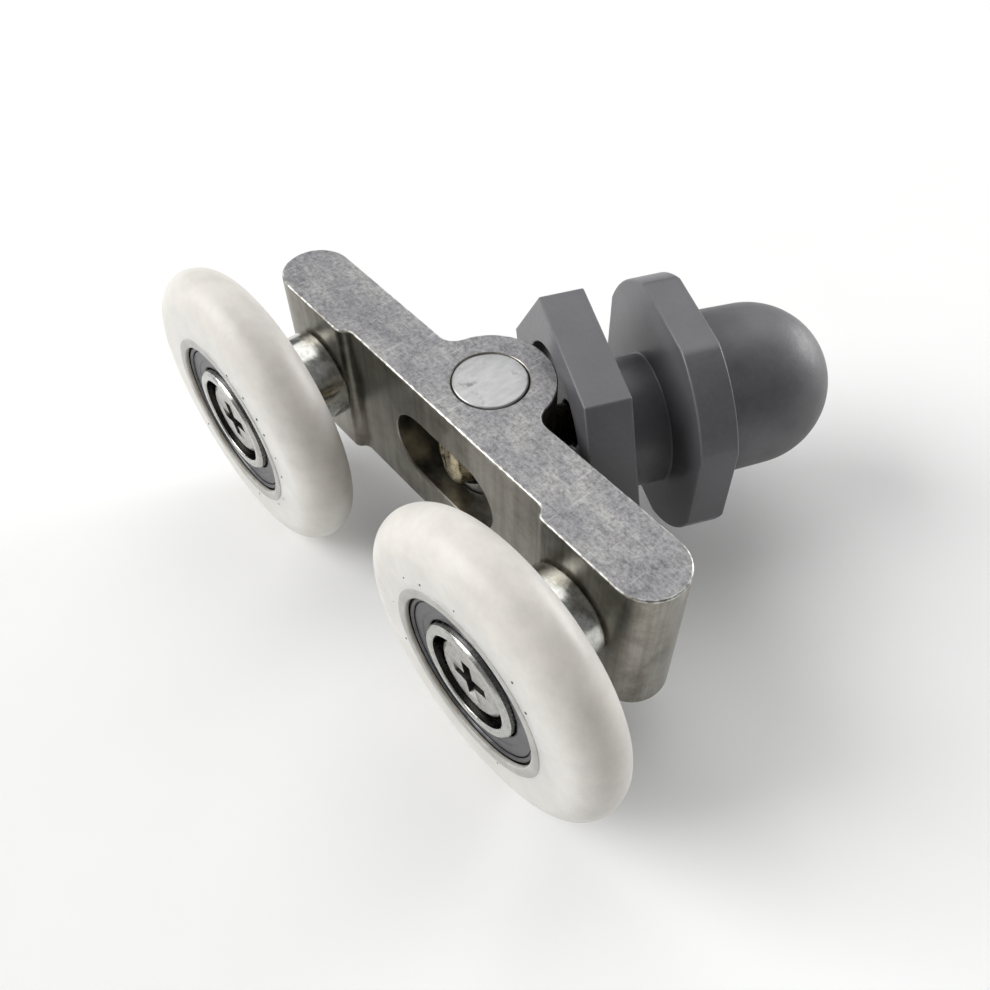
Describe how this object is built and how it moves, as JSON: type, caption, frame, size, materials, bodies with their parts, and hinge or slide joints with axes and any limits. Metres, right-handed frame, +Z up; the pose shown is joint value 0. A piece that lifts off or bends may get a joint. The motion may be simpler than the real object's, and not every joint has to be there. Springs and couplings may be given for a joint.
{
  "type": "sliding door roller",
  "caption": "Twin-wheel roller for a hung glass sliding door: aluminium bracket, two ball-bearing wheels and a swivelling clamp mount with an eccentric height cam.",
  "frame": {"origin": "on the rail line, midway between the two wheels' contact points, in the wheels' mid-plane", "axes": "+X along the rail, +Y from the wheels towards the glass, +Z up"},
  "size_m": [0.0568, 0.0428, 0.025],
  "materials": {
    "bare_aluminium": "bare extrusion, saw-cut ends",
    "pin_steel": "plated, dull from staking",
    "nickel_steel": "nickel plated, warm",
    "grey_nylon": "moulded, satin",
    "grey_matt_nylon": "moulded, spark-eroded texture",
    "brass": "turned",
    "acetal": "moulded, satin white",
    "bearing_steel": "ground",
    "ball_steel": "polished",
    "cage_nylon": "moulded",
    "shield_steel": "pressed sheet, dark",
    "zinc_steel": "bright zinc plated",
    "screw_steel": "nickel plated"
  },
  "bodies": {
    "bracket": {"bracket": "bare_aluminium", "left_axle_screw": "screw_steel", "left_spacer_bush": "zinc_steel", "left_inner_race": "bearing_steel", "right_axle_screw": "screw_steel", "right_spacer_bush": "zinc_steel", "right_inner_race": "bearing_steel"},
    "left_wheel": {"left_tyre": "acetal", "left_outer_race": "bearing_steel", "left_front_shield": "shield_steel", "left_rear_shield": "shield_steel"},
    "right_wheel": {"right_tyre": "acetal", "right_outer_race": "bearing_steel", "right_front_shield": "shield_steel", "right_rear_shield": "shield_steel"},
    "left_cage_set": {"left_cage": "cage_nylon", "left_balls": "ball_steel"},
    "right_cage_set": {"right_cage": "cage_nylon", "right_balls": "ball_steel"},
    "pivot": {"pivot_pin": "pin_steel"},
    "screw": {"clamp_screw": "nickel_steel"},
    "block": {"hex_block": "grey_nylon"},
    "cam": {"eccentric_cam": "grey_nylon"},
    "cap": {"dome_cap": "grey_matt_nylon", "cap_insert": "brass"}
  },
  "joints": [
    {"name": "left_wheel_spin", "type": "hinge", "parent": "bracket", "child": "left_wheel", "pos_m": [-0.0159, 0, 0.0125], "axis": [0, 1, 0], "continuous": true},
    {"name": "right_wheel_spin", "type": "hinge", "parent": "bracket", "child": "right_wheel", "pos_m": [0.0159, 0, 0.0125], "axis": [0, 1, 0], "continuous": true},
    {"name": "left_cage_spin", "type": "hinge", "parent": "bracket", "child": "left_cage_set", "pos_m": [-0.0159, 0, 0.0125], "axis": [0, 1, 0], "continuous": true},
    {"name": "right_cage_spin", "type": "hinge", "parent": "bracket", "child": "right_cage_set", "pos_m": [0.0159, 0, 0.0125], "axis": [0, 1, 0], "continuous": true},
    {"name": "mount_swivel", "type": "hinge", "parent": "bracket", "child": "pivot", "pos_m": [0, 0.0129, 0.0125], "axis": [0, 0, 1], "range_deg": [0, 48]},
    {"name": "screw_tilt", "type": "hinge", "parent": "pivot", "child": "screw", "pos_m": [0, 0.0129, 0.0125], "axis": [0.9135, -0.4067, 0], "range_deg": [-4, 2]},
    {"name": "block_turn", "type": "hinge", "parent": "screw", "child": "block", "pos_m": [0, 0.0129, 0.0125], "axis": [0.4067, 0.9134, 0.0175], "continuous": true},
    {"name": "cam_turn", "type": "hinge", "parent": "screw", "child": "cam", "pos_m": [0, 0.0129, 0.0125], "axis": [0.4067, 0.9134, 0.0175], "continuous": true},
    {"name": "cap_turn", "type": "hinge", "parent": "screw", "child": "cap", "pos_m": [0, 0.0129, 0.0125], "axis": [0.4067, 0.9134, 0.0175], "continuous": true}
  ],
  "couplings": [
    {"joint": "left_cage_spin", "follows": "left_wheel_spin", "ratio": 0.6101},
    {"joint": "right_cage_spin", "follows": "right_wheel_spin", "ratio": 0.6101}
  ]
}
